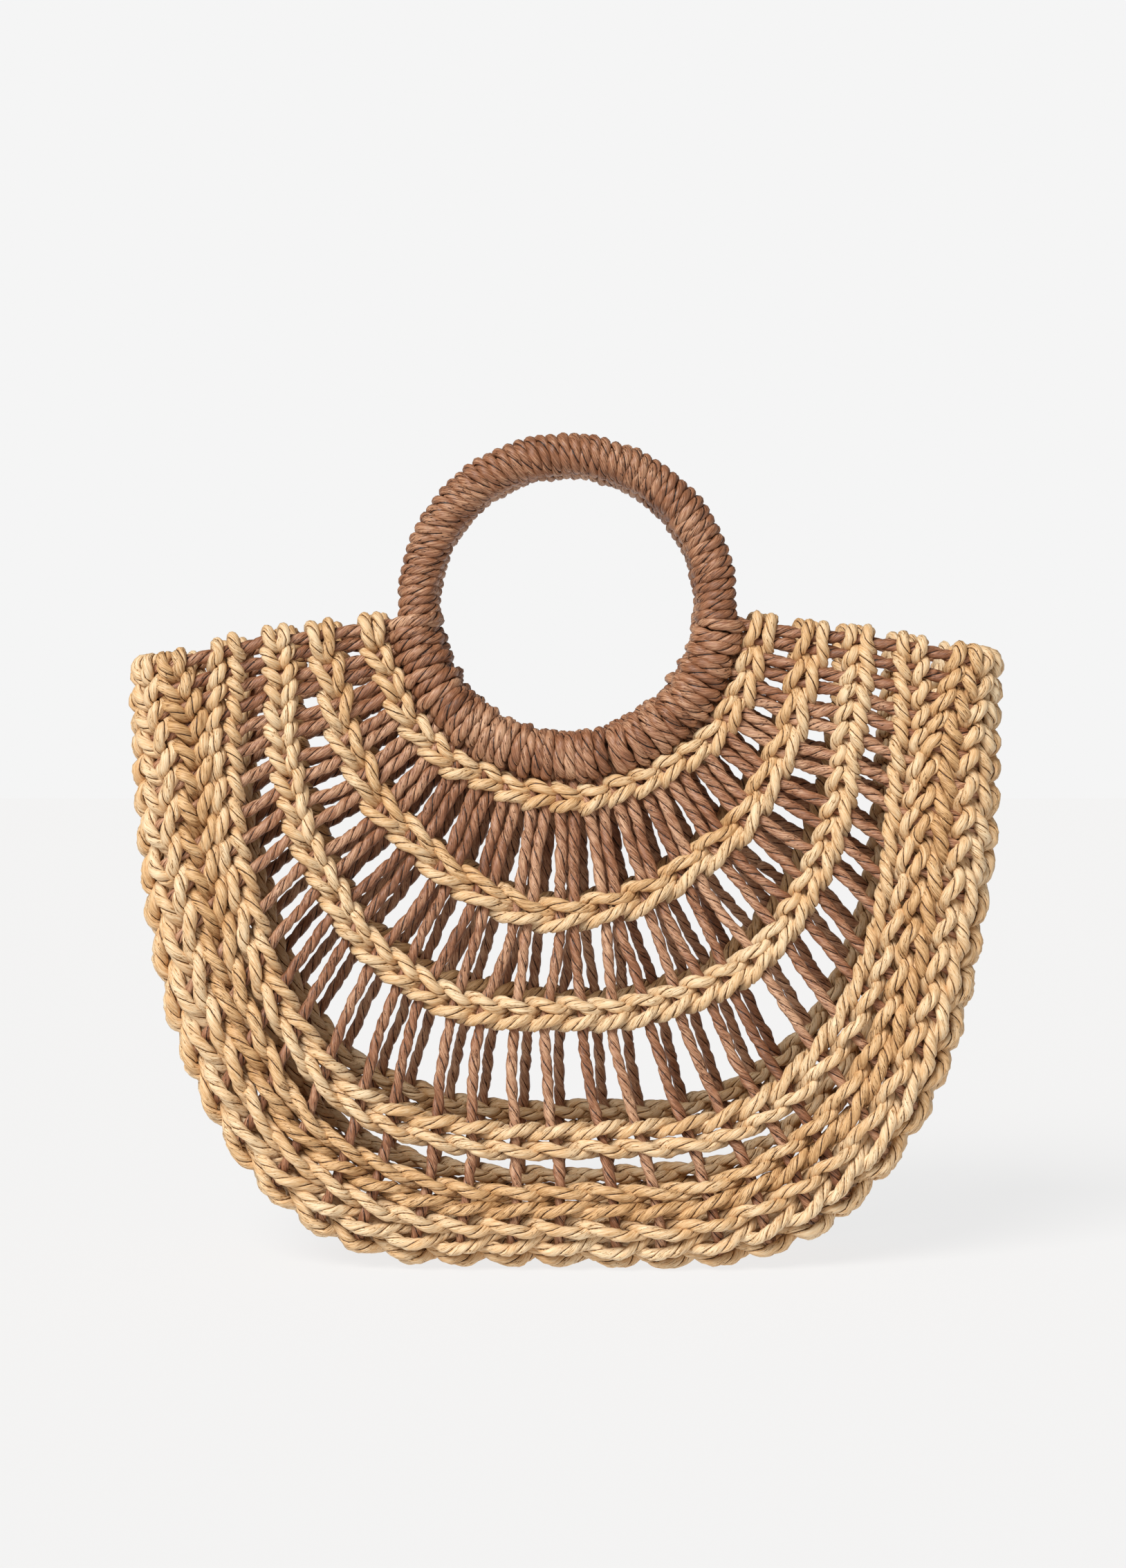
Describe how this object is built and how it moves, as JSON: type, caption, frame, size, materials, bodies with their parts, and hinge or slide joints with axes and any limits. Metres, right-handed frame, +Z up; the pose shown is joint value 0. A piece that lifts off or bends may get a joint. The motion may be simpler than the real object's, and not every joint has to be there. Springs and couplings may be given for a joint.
{
  "type": "rope basket bag",
  "caption": "Openwork basket bag twined from twisted rope over fanned spoke ropes, with close-woven ends and base and two rope-bound ring handles.",
  "frame": {"origin": "on the floor under the middle of the base", "axes": "+Z up, +X along the bag's width to the right as seen from the front, the front faces -Y"},
  "size_m": [0.3762, 0.0992, 0.3574],
  "materials": {
    "brown_rope": "twisted paper rope, satin",
    "tan_rope": "twisted paper rope, satin",
    "hoop": "plain cane"
  },
  "bodies": {
    "basket": {"spoke_rope_01": "brown_rope", "spoke_rope_02": "brown_rope", "spoke_rope_03": "brown_rope", "spoke_rope_04": "brown_rope", "spoke_rope_05": "brown_rope", "spoke_rope_06": "brown_rope", "spoke_rope_07": "brown_rope", "spoke_rope_08": "brown_rope", "spoke_rope_09": "brown_rope", "spoke_rope_10": "brown_rope", "spoke_rope_11": "brown_rope", "spoke_rope_12": "brown_rope", "spoke_rope_13": "brown_rope", "spoke_rope_14": "brown_rope", "spoke_rope_15": "brown_rope", "spoke_rope_16": "brown_rope", "spoke_rope_17": "brown_rope", "spoke_rope_18": "brown_rope", "spoke_rope_19": "brown_rope", "spoke_rope_20": "brown_rope", "spoke_rope_21": "brown_rope", "twined_row_front_1": "tan_rope", "twined_row_back_1": "tan_rope", "twined_row_front_2": "tan_rope", "twined_row_back_2": "tan_rope", "twined_row_front_3": "tan_rope", "twined_row_back_3": "tan_rope", "twined_row_front_4": "tan_rope", "twined_row_back_4": "tan_rope", "base_row_01": "tan_rope", "base_row_02": "tan_rope", "base_row_03": "tan_rope", "base_row_04": "tan_rope", "base_row_05": "tan_rope", "base_row_06": "tan_rope", "base_row_07": "tan_rope", "base_row_08": "tan_rope", "base_row_09": "tan_rope", "base_row_10": "tan_rope", "base_row_11": "tan_rope", "base_row_12": "tan_rope", "base_row_13": "tan_rope", "base_row_14": "tan_rope", "base_row_15": "tan_rope"},
    "front_handle": {"handle_core_front": "hoop", "handle_lashing_front": "brown_rope", "handle_wrap_front": "brown_rope"},
    "back_handle": {"handle_core_back": "hoop", "handle_lashing_back": "brown_rope", "handle_wrap_back": "brown_rope"}
  },
  "joints": [
    {"name": "front_handle_tilt", "type": "hinge", "parent": "basket", "child": "front_handle", "pos_m": [0, -0.016, 0.2065], "axis": [1, 0, 0], "range_deg": [-2, 30], "stiffness_Nm_per_rad": 0.15},
    {"name": "back_handle_tilt", "type": "hinge", "parent": "basket", "child": "back_handle", "pos_m": [0, 0.016, 0.2065], "axis": [-1, 0, 0], "range_deg": [-2, 30], "stiffness_Nm_per_rad": 0.15}
  ]
}
